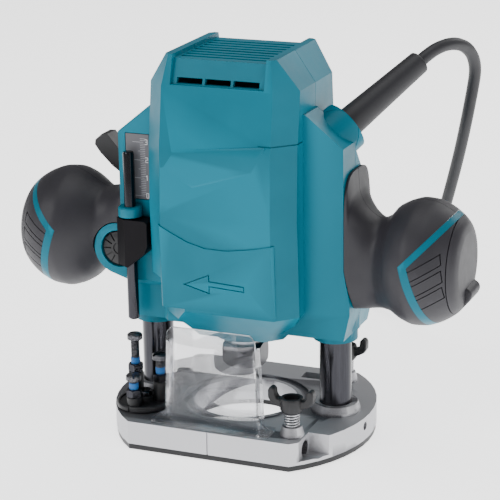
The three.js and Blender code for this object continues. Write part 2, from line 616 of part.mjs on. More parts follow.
piece("fan", fan(), BLACK);
piece("bearing_lower", ring(6 + GAP, 13, 68, 78), STEEL);
piece("bearing_upper", ring(3.5 + GAP, 9, 183, 190), STEEL);
piece("stator", stator(), DARK_STEEL);
for (const [side, s] of SIDES) {
  piece(`brush_${side}`, brush(s), CARBON);
  piece(`brush_holder_${side}`, brushHolder(s), BLACK);
}
piece("collet", collet(), STEEL);
piece("collet_nut", colletNut(), BLACK);
piece("shaft_lock_button", lockButton(), BLACK);
piece("switch_body", switchBody(), BLACK);
piece("switch_lever", switchLever(), BLACK);
piece("cord_guard", guardSolid(), RUBBER);
piece("cord", cordTube(), RUBBER);
piece("cord_coil", coil(), RUBBER);
piece("plug", plug(), RUBBER);

export default router;
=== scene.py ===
"""Compact plunge router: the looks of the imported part. Metres, +Z up, the front faces -Y."""
import json
import math

import bmesh
import bpy
from mathutils import Matrix, Vector


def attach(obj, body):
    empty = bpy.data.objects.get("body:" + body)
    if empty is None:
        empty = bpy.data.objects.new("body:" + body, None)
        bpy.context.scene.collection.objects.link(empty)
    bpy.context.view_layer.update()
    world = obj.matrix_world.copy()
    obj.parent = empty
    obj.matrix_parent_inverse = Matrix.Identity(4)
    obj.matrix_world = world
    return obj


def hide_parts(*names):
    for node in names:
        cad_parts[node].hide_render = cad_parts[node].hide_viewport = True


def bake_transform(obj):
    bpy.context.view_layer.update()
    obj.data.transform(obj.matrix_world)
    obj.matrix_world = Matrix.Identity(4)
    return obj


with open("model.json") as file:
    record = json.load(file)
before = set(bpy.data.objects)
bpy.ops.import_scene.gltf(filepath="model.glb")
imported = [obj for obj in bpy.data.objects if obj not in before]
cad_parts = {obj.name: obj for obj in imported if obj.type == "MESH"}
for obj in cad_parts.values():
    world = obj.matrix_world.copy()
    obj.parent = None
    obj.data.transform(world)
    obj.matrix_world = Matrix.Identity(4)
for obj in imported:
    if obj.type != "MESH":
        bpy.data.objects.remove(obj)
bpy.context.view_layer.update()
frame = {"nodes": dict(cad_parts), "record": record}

MM = 0.001
NODES = frame["nodes"]
BODY_OF = {n: b for b, names in frame["record"]["behaviour"]["bodies"].items() for n in names}

# ------------------------------------------------------------------ camera
AZIMUTH, ELEVATION, ROLL = math.radians(22.63), math.radians(17.04), math.radians(-0.94)
DISTANCE = 1.07388
LENS_MM, SENSOR_MM = 141.5, 36.0
AIM_SIDE, AIM_Z, PIVOT_Z = 0.00338, 0.10187, 0.108
CLIP_NEAR, CLIP_FAR = 0.05, 20


def make_camera():
    level = math.cos(ELEVATION)
    back = Vector((math.sin(AZIMUTH) * level, -math.cos(AZIMUTH) * level, math.sin(ELEVATION)))
    place = Vector((0, 0, PIVOT_Z)) + back * DISTANCE
    aim = Vector((math.cos(AZIMUTH) * AIM_SIDE, math.sin(AZIMUTH) * AIM_SIDE, AIM_Z))
    ahead = (aim - place).normalized()
    right = ahead.cross(Vector((0, 0, 1))).normalized()
    up = right.cross(ahead)
    tilted_right = right * math.cos(ROLL) + up * math.sin(ROLL)
    tilted_up = up * math.cos(ROLL) - right * math.sin(ROLL)
    data = bpy.data.cameras.new("camera")
    data.lens, data.sensor_width = LENS_MM, SENSOR_MM
    data.clip_start, data.clip_end = CLIP_NEAR, CLIP_FAR
    cam = bpy.data.objects.new("camera", data)
    bpy.context.scene.collection.objects.link(cam)
    cam.matrix_world = Matrix((tilted_right, tilted_up, -ahead)).transposed().to_4x4()
    cam.location = place
    bpy.context.scene.camera = cam


make_camera()


# ------------------------------------------------------------------ materials
class Nodes:
    """Short calls for building one material's node tree."""

    def __init__(self, name):
        self.material = bpy.data.materials.new(name)
        self.material.use_nodes = True
        self.tree = self.material.node_tree
        self.shader = next(n for n in self.tree.nodes if n.type == "BSDF_PRINCIPLED")
        self.color = self.shader.inputs["Base Color"]
        self.roughness = self.shader.inputs["Roughness"]
        self.place = self.add("ShaderNodeTexCoord").outputs["Object"]

    def add(self, kind, **values):
        node = self.tree.nodes.new(kind)
        for key, value in values.items():
            setattr(node, key, value)
        return node

    def link(self, a, b):
        self.tree.links.new(a, b)

    def noise(self, scale, detail=3.0, rough=0.5, stretch=None):
        node = self.add("ShaderNodeTexNoise")
        node.inputs["Scale"].default_value = scale
        node.inputs["Detail"].default_value = detail
        node.inputs["Roughness"].default_value = rough
        source = self.place
        if stretch:
            mapping = self.add("ShaderNodeMapping")
            mapping.inputs["Scale"].default_value = stretch
            self.link(self.place, mapping.inputs["Vector"])
            source = mapping.outputs["Vector"]
        self.link(source, node.inputs["Vector"])
        return node.outputs["Fac"]

    def ramp(self, value, low, high):
        """Black below low, white above high."""
        node = self.add("ShaderNodeValToRGB")
        first, last = node.color_ramp.elements
        first.position, first.color = low, (0, 0, 0, 1)
        last.position, last.color = high, (1, 1, 1, 1)
        self.link(value, node.inputs["Fac"])
        return node.outputs["Color"]

    def mix(self, factor, a, b):
        node = self.add("ShaderNodeMix", data_type="RGBA")
        self.link(factor, node.inputs[0])
        for socket, value in ((node.inputs[6], a), (node.inputs[7], b)):
            if isinstance(value, tuple):
                socket.default_value = value
            else:
                self.link(value, socket)
        return node.outputs[2]

    def worn_edges(self, low, high):
        """White where the surface turns outwards sharply."""
        return self.ramp(self.add("ShaderNodeNewGeometry").outputs["Pointiness"], low, high)

    def spread(self, value, low, high):
        node = self.add("ShaderNodeMapRange")
        self.link(value, node.inputs["Value"])
        node.inputs["To Min"].default_value, node.inputs["To Max"].default_value = low, high
        return node.outputs["Result"]

    def bump(self, *layers):
        """Layers of (height, strength, distance in metres), each over the one before."""
        normal = None
        for height, strength, distance in layers:
            node = self.add("ShaderNodeBump")
            node.inputs["Strength"].default_value = strength
            node.inputs["Distance"].default_value = distance
            self.link(height, node.inputs["Height"])
            if normal is not None:
                self.link(normal, node.inputs["Normal"])
            normal = node.outputs["Normal"]
        self.link(normal, self.shader.inputs["Normal"])

    def put(self, **values):
        for key, value in values.items():
            self.shader.inputs[key.replace("_", " ")].default_value = value


def shade(color, k):
    return tuple(min(1.0, c * k) for c in color[:3]) + (1.0,)


def moulded(name, color, rough, grain, depth, worn=1.5, shine=0.4):
    """Moulded plastic: fine spark-eroded grain, slow colour drift, paler worn edges."""
    n = Nodes(name)
    drift = n.noise(28, 4)
    base = n.mix(n.ramp(drift, 0.3, 0.7), shade(color, 0.9), shade(color, 1.08))
    n.link(n.mix(n.worn_edges(0.52, 0.6), base, shade(color, worn)), n.color)
    n.link(n.spread(n.noise(160, 3), rough - 0.06, rough + 0.08), n.roughness)
    n.bump((n.noise(grain, 2, 0.6), 0.35, depth), (n.noise(45, 2), 0.05, 0.0004))
    n.put(Specular_IOR_Level=shine)
    return n.material


def metal(name, color, rough, stretch, scale):
    """Ground or turned metal, with fine marks along one direction."""
    n = Nodes(name)
    marks = n.noise(scale, 4, 0.6, stretch)
    n.link(n.mix(n.ramp(marks, 0.35, 0.7), shade(color, 0.82), shade(color, 1.12)), n.color)
    n.link(n.spread(marks, rough - 0.07, rough + 0.1), n.roughness)
    n.bump((marks, 0.25, 0.00002))
    n.put(Metallic=1.0)
    return n.material


def cast_metal():
    """Shot-blasted aluminium casting, brighter where edges are milled."""
    n = Nodes("cast_aluminium")
    pits = n.noise(1500, 3, 0.65)
    cloud = n.noise(35, 4)
    base = n.mix(n.ramp(cloud, 0.3, 0.7), (0.17, 0.166, 0.183, 1), (0.235, 0.23, 0.25, 1))
    fine = n.mix(n.ramp(pits, 0.42, 0.62), (0.12, 0.12, 0.13, 1), base)
    n.link(n.mix(n.worn_edges(0.52, 0.58), fine, (0.5, 0.5, 0.52, 1)), n.color)
    n.link(n.spread(pits, 0.36, 0.56), n.roughness)
    n.bump((pits, 0.7, 0.00016), (n.noise(220, 3), 0.3, 0.0003))
    n.put(Metallic=0.85)
    return n.material


def clear_plastic():
    """Clear moulding with a faint haze."""
    n = Nodes("clear_plastic")
    haze = n.ramp(n.noise(60, 4), 0.3, 0.8)
    n.link(n.mix(haze, (0.90, 0.90, 0.94, 1), (0.97, 0.97, 0.99, 1)), n.color)
    n.link(n.spread(n.noise(400, 3), 0.01, 0.03), n.roughness)
    n.put(Transmission_Weight=1.0, IOR=1.3, Alpha=0.6)
    return n.material


def blackened_bolt():
    """Blackened steel of the turret's bolts."""
    n = Nodes("patched_bolt")
    marks = n.noise(900, 3)
    n.link(n.mix(n.ramp(marks, 0.4, 0.6), (0.05, 0.05, 0.055, 1), (0.11, 0.11, 0.12, 1)), n.color)
    n.link(n.spread(marks, 0.22, 0.4), n.roughness)
    n.bump((marks, 0.2, 0.00003))
    n.put(Metallic=0.9)
    return n.material


M = {
    "teal_plastic": moulded("teal_plastic", (0.0, 0.118, 0.172), 0.34, 2600, 0.00005, 1.3, 0.14),
    "soft_grip": moulded("soft_grip", (0.019, 0.018, 0.023), 0.5, 3200, 0.00006, 1.25, 0.35),
    "black_plastic": moulded("black_plastic", (0.008, 0.008, 0.0095), 0.42, 2400, 0.00005, 1.9, 0.35),
    "deep_black": moulded("deep_black", (0.003, 0.0024, 0.0036), 0.5, 2400, 0.00004, 1.6, 0.1),
    "grey_plastic": moulded("grey_plastic", (0.085, 0.085, 0.095), 0.5, 2000, 0.00003, 1.2),
    "print_grey": moulded("print_grey", (0.3, 0.3, 0.33), 0.55, 2000, 0.00002, 1.05),
    "print_white": moulded("print_white", (0.62, 0.62, 0.64), 0.55, 2000, 0.00002, 1.05),
    "blue_patch": moulded("blue_patch", (0.01, 0.11, 0.34), 0.55, 2500, 0.00004, 1.2),
    "cord_rubber": moulded("cord_rubber", (0.014, 0.014, 0.017), 0.5, 1900, 0.00006, 1.3),
    "carbon": moulded("carbon", (0.03, 0.03, 0.03), 0.7, 2600, 0.00008, 1.2),
    "cast_aluminium": cast_metal(),
    "clear_plastic": clear_plastic(),
    "steel": metal("steel", (0.55, 0.55, 0.57), 0.26, (1, 1, 6), 500),
    "dark_steel": metal("dark_steel", (0.04, 0.04, 0.046), 0.2, (1, 1, 0.08), 900),
    "copper": metal("copper", (0.75, 0.4, 0.22), 0.34, (1, 1, 8), 500),
    "bolt": blackened_bolt(),
}
SLOT_OF = {s["node"]: s["material_slot"] for s in frame["record"]["subparts"]}


# ------------------------------------------------------------------ mesh tools
# They take millimetres and make meshes in metres.
def new_object(name, mesh):
    obj = bpy.data.objects.new(name, mesh)
    bpy.context.scene.collection.objects.link(obj)
    return obj


def from_bmesh(name, bm):
    bmesh.ops.recalc_face_normals(bm, faces=bm.faces)
    mesh = bpy.data.meshes.new(name)
    bm.to_mesh(mesh)
    bm.free()
    return new_object(name, mesh)


def loft(name, rings):
    """Closed skin through rings of points, in millimetres."""
    bm = bmesh.new()
    made = [[bm.verts.new(Vector(p) * MM) for p in ring] for ring in rings]
    count = len(made[0])
    for a, b in zip(made, made[1:]):
        for i in range(count):
            j = (i + 1) % count
            bm.faces.new((a[i], a[j], b[j], b[i]))
    bm.faces.new(list(reversed(made[0])))
    bm.faces.new(made[-1])
    return from_bmesh(name, bm)


def panel(name, points, y0, y1):
    """An outline of [x, z] pairs carried from y0 to y1."""
    return loft(name, [[(x, y, z) for x, z in points] for y in (y0, y1)])


def box(name, x0, x1, y0, y1, z0, z1):
    return panel(name, [(x0, z0), (x1, z0), (x1, z1), (x0, z1)], y0, y1)


def turned(name, start, direction, profile, sides=64):
    """A profile of (distance along, radius) pairs round an axis."""
    d = Vector(direction).normalized()
    side = d.orthogonal().normalized()
    other = d.cross(side)
    angles = [2 * math.pi * i / sides for i in range(sides)]
    rings = []
    for along, radius in profile:
        middle = Vector(start) + d * along
        rings.append([middle + (side * math.cos(a) + other * math.sin(a)) * radius for a in angles])
    return loft(name, rings)


def upright(name, x, y, profile, sides=64):
    """A profile of (z, radius) pairs round an upright axis."""
    return turned(name, (x, y, 0), (0, 0, 1), profile, sides)


def turn_to(obj, x, y, degrees):
    """Turn a mesh made at the origin about its upright axis, and carry it to x, y."""
    turn = Matrix.Rotation(math.radians(degrees), 4, "Z")
    obj.data.transform(Matrix.Translation(Vector((x, y, 0)) * MM) @ turn)
    return obj


def apply_modifiers(obj):
    bpy.context.view_layer.update()
    evaluated = obj.evaluated_get(bpy.context.evaluated_depsgraph_get())
    mesh = bpy.data.meshes.new_from_object(evaluated)
    obj.modifiers.clear()
    obj.data = mesh
    return obj


def boolean(obj, other, operation="DIFFERENCE"):
    """Combine obj with other, which is used up."""
    m = obj.modifiers.new("cut", "BOOLEAN")
    m.operation, m.solver, m.object = operation, "MANIFOLD", other
    apply_modifiers(obj)
    bpy.data.objects.remove(other)
    return obj


def cross_recess(screw, x, y, turn, reach, half, z0, z1):
    """Cut a cross slot into a screw's head."""
    for angle in (0, 90):
        boolean(screw, turn_to(box("cross", -reach, reach, -half, half, z0, z1), x, y, angle + turn))
    return screw


def clean(obj, angle=1.5):
    """Weld the mesh and join the flat faces that meet at under that many degrees."""
    bm = bmesh.new()
    bm.from_mesh(obj.data)
    bmesh.ops.remove_doubles(bm, verts=bm.verts, dist=0.00002)
    bmesh.ops.dissolve_limit(bm, angle_limit=math.radians(angle), verts=bm.verts, edges=bm.edges)
    bm.to_mesh(obj.data)
    bm.free()
    return obj


def rounded(obj, width, segments=2, angle=32):
    """Round the hard edges by width millimetres, and shade the rest smooth."""
    m = obj.modifiers.new("round", "BEVEL")
    m.width, m.segments = width * MM, segments
    m.limit_method, m.angle_limit = "ANGLE", math.radians(angle)
    m.use_clamp_overlap, m.harden_normals = True, False
    apply_modifiers(obj)
    smooth(obj)
    even = obj.modifiers.new("even", "WEIGHTED_NORMAL")
    even.keep_sharp = True
    return apply_modifiers(obj)


def smooth(obj, angle=35):
    obj.data.shade_smooth()
    bpy.context.view_layer.objects.active = obj
    for other in bpy.context.selected_objects:
        other.select_set(False)
    obj.select_set(True)
    bpy.ops.object.shade_smooth_by_angle(angle=math.radians(angle))
    return obj


def cad_copy(node):
    mesh = NODES[node].data.copy()
    mesh.materials.clear()
    return clean(new_object(f"{node}_fine", mesh))


def paint(obj, material):
    obj.data.materials.clear()
    obj.data.materials.append(M[material])
    return obj


def use(obj, node, material=None):
    """Paint the piece, let it ride where its node rides, and let it stand for that node."""
    slot = SLOT_OF[node]
    paint(obj, material or slot)
    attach(obj, BODY_OF[node])
    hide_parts(node)
    return obj


def use_across_plunge(obj, nodes):
    """Paint a piece that runs between base and head and stays where it lies, and let it stand for its
    nodes.
    """
    slot = SLOT_OF[nodes[0]]
    paint(obj, slot)
    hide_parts(*nodes)
    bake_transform(obj)
    return obj


def trim(obj, body, material):
    """A small extra piece that stands for no node."""
    paint(obj, material)
    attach(obj, body)
    return obj


# ------------------------------------------------------------------ cord, with its guard and plug
COLLAR = Vector((54.8, 7.5, 173))      # middle of the collar's mouth
CORD_DIR = Vector((0.52, 0.68, 0.52)).normalized()
GUARD_LENGTH, TOUCH = 58, 0.3          # the cord shows from a touch past the guard's end
CORD_EXIT = COLLAR + CORD_DIR * (GUARD_LENGTH + TOUCH)
CORD_R = 3.5
CORD_ARC_LEAD, CORD_ARC_R, CORD_ARC_TURN = 4, 30, math.radians(115)
CORD_FALL = Vector((-0.2, 0.25, -0.947)).normalized()
CORD_REST_Z = 3.9                      # middle of a cord that lies on the floor
COIL_X, COIL_Y = -70, 205
COIL_START_R, COIL_OUTER, COIL_INNER = 52.0, 45.2, 31.0
ROW_STEP = 7.1                         # from one row of the coil up to the next
CORD_POINTS = [
    (97, 99, 162.5), (89, 110.5, 136), (78, 125, 104), (64, 144, 68), (45, 169, 36), (24, 194, 15),
    (3, 216, 5.6), (-16, 231.2, CORD_REST_Z), (-31.4, 243, CORD_REST_Z), (-50.5, 253.7, CORD_REST_Z),
    (-70, 257, CORD_REST_Z),
]
PLUG_Z = 36.0
PLUG_Y = COIL_Y + 37.5
PLUG_TAIL = Vector((COIL_X + 36.4, COIL_Y + 26.8, 34.2))
TAIL_DIR = (PLUG_TAIL - Vector((COIL_X + 16, PLUG_Y, PLUG_Z))).normalized()


def spline(points, step=2.5):
    """Centripetal curve through the points, sampled about every step millimetres."""
    p = [2 * points[0] - points[1]] + list(points) + [2 * points[-1] - points[-2]]
    out = []
    for a, b, c, d in zip(p, p[1:], p[2:], p[3:]):
        ta, tb = 0.0, (b - a).length ** 0.5
        tc = tb + (c - b).length ** 0.5
        td = tc + (d - c).length ** 0.5
        count = max(2, round((c - b).length / step))
        for i in range(count):
            t = tb + (tc - tb) * i / count
            a1 = a.lerp(b, (t - ta) / (tb - ta))
            a2 = b.lerp(c, (t - tb) / (tc - tb))
            a3 = c.lerp(d, (t - tc) / (td - tc))
            b1 = a1.lerp(a2, (t - ta) / (tc - ta))
            b2 = a2.lerp(a3, (t - tb) / (td - tb))
            out.append(b1.lerp(b2, (t - tb) / (tc - tb)))
    return out + [points[-1].copy()]


def over_arc():
    """The bend that carries the cord from the guard's direction into its fall."""
    inward = (CORD_FALL - CORD_DIR * CORD_FALL.dot(CORD_DIR)).normalized()
    start, steps = GUARD_LENGTH + CORD_ARC_LEAD, 12
    points = []
    for i in range(steps + 1):
        t = CORD_ARC_TURN * i / steps
        ahead = CORD_DIR * (start + CORD_ARC_R * math.sin(t))
        points.append(COLLAR + ahead + inward * CORD_ARC_R * (1 - math.cos(t)))
    return points


def tail_bend():
    """Middle of the cord's last bend, from the middle of the coil, and the angle where the coil is left."""
    ahead = -TAIL_DIR.xy.normalized()
    middle = PLUG_TAIL.xy - Vector((COIL_X, COIL_Y)) + Vector((-ahead.y, ahead.x)) * COIL_INNER
    return middle, math.degrees(math.atan2(middle.y, middle.x)) + 270


def coil_rows(leave):
    """Rows of a flat spiral, in and out by turns, each a step above the one below."""
    start_deg, lead, turn, rise, rise_outer = 90, 100, 720, 120, 90
    last = leave - rise - (start_deg + lead + rise + rise_outer) % 360 + 360
    legs = [  # degrees turned, radius and row at the start and end
        (lead, COIL_START_R, COIL_OUTER, 0, 0), (turn, COIL_OUTER, COIL_INNER, 0, 0),
        (rise, COIL_INNER, COIL_INNER, 0, 1), (turn, COIL_INNER, COIL_OUTER, 1, 1),
        (rise_outer, COIL_OUTER, COIL_OUTER, 1, 2), (last, COIL_OUTER, COIL_INNER, 2, 2),
        (rise, COIL_INNER, COIL_INNER, 2, 3),
    ]
    points, angle = [], start_deg
    for sweep, r0, r1, row0, row1 in legs:
        count = max(2, round(sweep / 6))
        for i in range(1, count + 1):
            t = i / count
            soft = t * t * (3 - 2 * t)
            a = math.radians(angle + sweep * t)
            r = r0 + (r1 - r0) * (soft if sweep == lead else t)
            z = CORD_REST_Z + ROW_STEP * (row0 + (row1 - row0) * soft)
            points.append(Vector((COIL_X + r * math.cos(a), COIL_Y + r * math.sin(a), z)))
        angle += sweep
    return points


def coil_path():
    """The coil's rows, then a loop that climbs into the plug's tail."""
    middle, leave = tail_bend()
    points = coil_rows(leave)
    to_tail = PLUG_TAIL.xy - Vector((COIL_X, COIL_Y)) - middle
    start, end = math.radians(leave), math.atan2(to_tail.y, to_tail.x)
    sweep = (end - start) % (2 * math.pi)
    whole = middle.length + COIL_INNER * sweep
    low, climb, slope = points[-1].z, PLUG_TAIL.z - points[-1].z, -TAIL_DIR.z * whole
    steps = 42
    for i in range(1, steps + 1):
        t = i / steps
        gone = whole * t
        a = start + max(0.0, gone - middle.length) / COIL_INNER
        centre = middle * min(1.0, gone / middle.length)
        z = low + climb * (3 * t * t - 2 * t ** 3) + slope * (t ** 3 - t * t)
        points.append(Vector((COIL_X + centre.x + COIL_INNER * math.cos(a),
                              COIL_Y + centre.y + COIL_INNER * math.sin(a), z)))
    return points


def tube(name, path, radius, sides=12):
    """Round tube along a path, without twist."""
    side = (path[1] - path[0]).normalized().orthogonal().normalized()
    angles = [2 * math.pi * k / sides for k in range(sides)]
    rings = []
    for i, p in enumerate(path):
        ahead = (path[min(i + 1, len(path) - 1)] - path[max(i - 1, 0)]).normalized()
        side = (side - ahead * side.dot(ahead)).normalized()
        other = ahead.cross(side)
        rings.append([p + (side * math.cos(a) + other * math.sin(a)) * radius for a in angles])
    return smooth(loft(name, rings), 50)


def make_cord():
    """The cord from the guard to the plug, with the path of its middle."""
    wound = coil_path()
    hanging = [CORD_EXIT] + over_arc() + [Vector(p) for p in CORD_POINTS]
    path = spline(hanging + wound[1:4]) + wound[4:]
    cord = use_across_plunge(tube("cord_fine", path, CORD_R), ["cord", "cord_coil"])
    return cord, path


def make_guard():
    """Smooth strain relief that tapers from its flange to the cord."""
    root_r, taper, steps = 8.4, 2.1, 60
    profile = [(-4.6, 8.9), (-1.2, 8.9), (-1, 8.5)]
    for i in range(1, steps):
        along = -1 + (GUARD_LENGTH + 1) * i / steps
        profile.append((along, root_r - taper * (max(0.0, along) / GUARD_LENGTH) ** 0.9))
    profile += [(GUARD_LENGTH - 0.6, 6.15), (GUARD_LENGTH - 0.1, 5.6), (GUARD_LENGTH, 4.2)]
    guard = smooth(turned("cord_guard_fine", COLLAR, CORD_DIR, profile, 48), 50)
    return use(guard, "cord_guard")


def make_plug():
    """Two-pin plug: a flat body with a grip waist, bare pins with insulated roots and a ribbed tail."""
    x, y, z = COIL_X, PLUG_Y, PLUG_Z
    body = box("plug_fine", x - 16, x + 17, y - 10.3, y + 10.3, z - 6.5, z + 6.5)
    for side in (-1, 1):
        boolean(body, upright("scoop", x + 4, y + side * 19, [(z - 10, 10.5), (z + 10, 10.5)], 48))
    rounded(body, 2.2, 4)
    start = Vector((x + 14, y, z))
    along = PLUG_TAIL - start
    ribs = [(0, 5.6), (4, 5.6)]
    for i in range(6):
        d = 6 + i * 2.6
        ribs += [(d, 5.3 - i * 0.12), (d + 1.4, 5.3 - i * 0.12), (d + 1.5, 4.5), (d + 2.4, 4.4)]
    ribs += [(along.length, 4.2)]
    boolean(body, turned("tail", start, along, ribs, 32), "UNION")
    smooth(body, 40)
    root, sleeved = x - 15.9, 9.4
    for dy in (-7, 7):
        sleeve = turned("plug_pin_sleeve", (root, y + dy, z), (-1, 0, 0), [(-1, 1.9), (sleeved, 1.9)], 24)
        tip = turned("plug_pin", (root - sleeved, y + dy, z), (-1, 0, 0),
                     [(0, 1.99), (7.4, 1.99), (8.3, 1.5), (8.6, 0.6)], 24)
        trim(smooth(sleeve), BODY_OF["plug"], "black_plastic")
        trim(smooth(tip), BODY_OF["plug"], "steel")
    return use(body, "plug")


cord_fine, cord_path = make_cord()
guard_fine = make_guard()
plug_fine = make_plug()


# ------------------------------------------------------------------ knob handles
KNOB_Z = 106.5
# Stations of each neck and of the knob: x, middle z, half height, half depth.
NECK = {
    "left": [
        (62, 112, 25, 19.6), (67, 110.5, 24, 19.4), (74, 109.4, 22.6, 19), (80, 108.8, 22.4, 20.2),
        (85, 107.6, 25.2, 24.6),
    ],
    "right": [
        (62, 116, 38, 19.6), (66.2, 116, 38, 19.6), (67, 110.6, 32.4, 19.4), (69.8, 107.2, 28.8, 19.2),
        (75, 104.4, 26, 19.2), (80, 103.4, 24.6, 20.2), (85, 104.4, 25.8, 24),
    ],
}
KNOB = [
    (90, 106.6, 29.2, 29), (96, KNOB_Z, 32.4, 32.6), (102, KNOB_Z, 34, 34.4), (108, KNOB_Z, 33.6, 34),
    (114, KNOB_Z, 31.6, 32), (119.6, KNOB_Z, 28.4, 28.6), (124, KNOB_Z, 24.6, 24.6),
    (126.2, KNOB_Z, 21, 21), (127, KNOB_Z, 17, 17),
]
KNOB_END = KNOB[-1][0]
NECK_STEP = 67          # the right neck's step is sharp here, and the squarish section starts to round off
ROUNDING_LENGTH = 15
PART_GAP = 0.15         # half the gap between a front and a rear grip
STRIPE_START, STRIPE_END = -2.2, 2.5    # the stripe's edges, either side of the V
STRIPE_CLEARANCE = 0.06
WHEEL_X, WHEEL_Z = -66.8, 101.5
WHEEL_RING_ROOM = 15.1


def between(stations, x):
    """Monotone curve through the stations' sizes, read at x."""
    xs = [v[0] for v in stations]
    k = max(i for i in range(len(xs) - 1) if xs[i] <= x or i == 0)
    h = xs[k + 1] - xs[k]
    t = (x - xs[k]) / h
    out = []
    for c in (1, 2, 3):
        v = [row[c] for row in stations]
        rates = [(v[i + 1] - v[i]) / (xs[i + 1] - xs[i]) for i in range(len(xs) - 1)]

        def slope(i):
            if i == 0 or i == len(xs) - 1:
                return rates[min(i, len(rates) - 1)]
            before, after = rates[i - 1], rates[i]
            return 0.0 if before * after <= 0 else 2 * before * after / (before + after)

        m0, m1 = slope(k) * h, slope(k + 1) * h
        out.append((2 * t ** 3 - 3 * t * t + 1) * v[k] + (t ** 3 - 2 * t * t + t) * m0
                   + (3 * t * t - 2 * t ** 3) * v[k + 1] + (t ** 3 - t * t) * m1)
    return out


def handle_solid(name, sign, inset=0.0):
    """The whole knob and its neck: squarish where it leaves the head, round at the palm."""
    stations, sides = NECK[name] + KNOB, 96
    angles = [2 * math.pi * (i + 0.5) / sides for i in range(sides)]
    at_step = [62, 64, 65.6, 66.2, 66.6, NECK_STEP, 67.6, 68.4]
    at_end = [124, 124.8, 125.5, 126.2, 126.7, KNOB_END]
    rings = []
    for x in at_step + [69.4 + 1.15 * i for i in range(47)] + at_end:
        zm, rz, ry = between(stations, x)
        square = 0.5 + 0.5 * min(1, max(0, (x - NECK_STEP) / ROUNDING_LENGTH))
        ring = []
        for a in angles:
            across = math.copysign(abs(math.cos(a)) ** square, math.cos(a))
            upward = math.copysign(abs(math.sin(a)) ** square, math.sin(a))
            ring.append((sign * (x - inset), (ry - inset) * across, zm + (rz - inset) * upward))
        rings.append(ring)
    return loft(f"handle_{name}_solid", rings)


def mirrored_panel(name, sign, points, y0, y1):
    """A panel whose x are given for the right side."""
    return panel(name, [(sign * x, z) for x, z in points], y0, y1)


def lip(sign):
    """Small thumb lip low on the end of the knob."""
    points = [(116, 80), (122.6, 80.4), (129.2, 88.2), (130.4, 91.2), (129.4, 93.6), (124, 97), (116, 100)]
    return rounded(mirrored_panel("lip", sign, points, -4, 14), 2.4, 5, 20)


def beyond_v(sign, shift):
    """Everything outward of a V whose point faces the motor."""
    points = [(101 + shift, 112.5), (121 + shift, 133.5), (138 + shift, 151), (150, 151), (150, 60),
              (108 + shift, 60), (112 + shift, 76)]
    return mirrored_panel("beyond_v", sign, points, -50, 50)


def room_for_head(sign):
    """The flank that the neck sits against, with a little clearance."""
    face, bulge = 64.9, 68.4
    outline = [(40, 40), (face, 40), (face, 63), (bulge, 77.6), (bulge, 84.2), (face, 102.3), (face, 200),
               (40, 200)]
    return mirrored_panel("room", sign, outline, -60, 60)


def copy_of(obj, name):
    return new_object(name, obj.data.copy())


def stroke_corners(a, b, half):
    """Corners of the square-ended stroke from a to b."""
    d = (b - a).normalized()
    n = Vector((-d.y, d.x)) * half
    return [a - d * half + n, b + d * half + n, b + d * half - n, a - d * half - n]


def grooves(name, sign):
    """Three slanting U-shaped lines and the seam ring, all pressed into the end cap."""
    seam, seam_half = sign * 122.4, 0.22
    cutters = box("seam", seam - seam_half, seam + seam_half, -60, 60, 40, 170)
    boolean(cutters, box("off", -150, 150, 6, 70, 30, 180))
    run, half = Vector((0.86, 0.51)) * 19, 0.24
    for tip, width in (((119.2, 119.4), 5.2), ((120.2, 111.2), 6.0), ((120.8, 102.4), 6.2)):
        top = Vector(tip)
        low = top - Vector((-0.9, width))
        for a, b in ((top, top - run), (low, low - run), (top, low)):
            boolean(cutters, mirrored_panel("groove", sign, stroke_corners(a, b, half), -60, 60), "UNION")
    depth = 0.8
    return boolean(cutters, handle_solid(name, sign, depth))


def make_handle(name, sign):
    """Front and rear grip, stripe and end cap, cut from one solid."""
    piece_name = lambda part: f"handle_{name}_{part}_fine"
    whole = boolean(boolean(handle_solid(name, sign), lip(sign), "UNION"), room_for_head(sign))
    if sign < 0:
        ring_room = [(0, WHEEL_RING_ROOM), (34.4, WHEEL_RING_ROOM)]
        boolean(whole, turned("wheel_room", (WHEEL_X, -40, WHEEL_Z), (0, 1, 0), ring_room, 72))
    grip = boolean(copy_of(whole, "grip"), beyond_v(sign, STRIPE_START - STRIPE_CLEARANCE))
    rear = boolean(copy_of(grip, piece_name("rear")), box("half", -150, 150, -60, PART_GAP, 0, 220))
    front = boolean(copy_of(grip, piece_name("front")), box("half", -150, 150, -PART_GAP, 60, 0, 220))
    stripe = boolean(copy_of(whole, piece_name("stripe")), beyond_v(sign, STRIPE_START), "INTERSECT")
    boolean(stripe, beyond_v(sign, STRIPE_END))
    cap = copy_of(whole, piece_name("cap"))
    boolean(cap, beyond_v(sign, STRIPE_END + STRIPE_CLEARANCE), "INTERSECT")
    boolean(cap, grooves(name, sign))
    for obj in (grip, whole):
        bpy.data.objects.remove(obj)
    for part, obj, edge in (("front", front, 0.5), ("rear", rear, 0.5),
                            ("stripe", stripe, 0.35), ("cap", cap, 0.35)):
        use(rounded(clean(obj, 0.4), edge, 2, 40), f"handle_{name}_{part}")


make_handle("left", -1)
make_handle("right", 1)


# ------------------------------------------------------------------ pieces refined from their solids
def refine(node, width, segments=2, angle=32, material=None, extra=None):
    """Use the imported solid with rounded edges, after the extra cuts."""
    obj = cad_copy(node)
    if extra:
        extra(obj)
    return use(rounded(obj, width, segments, angle), node, material)


def engrave(obj, cutter, inside):
    """Cut the part of cutter that lies outside the solid inside."""
    return boolean(obj, boolean(cutter, inside))


# Levels of the housing's outer shape: half width, front, back, chamfer, z.
BODY_LEVELS = [
    (27, 19, 19, 8, 57), (33, 25, 25, 10, 63.5), (42.4, 37.5, 36, 11, 76.3), (42.4, 40, 40, 11, 130),
    (42.4, 38.6, 40, 11, 165), (42.4, 33.6, 37, 11, 198.6), (31.2, 29, 33, 2.4, 215),
]


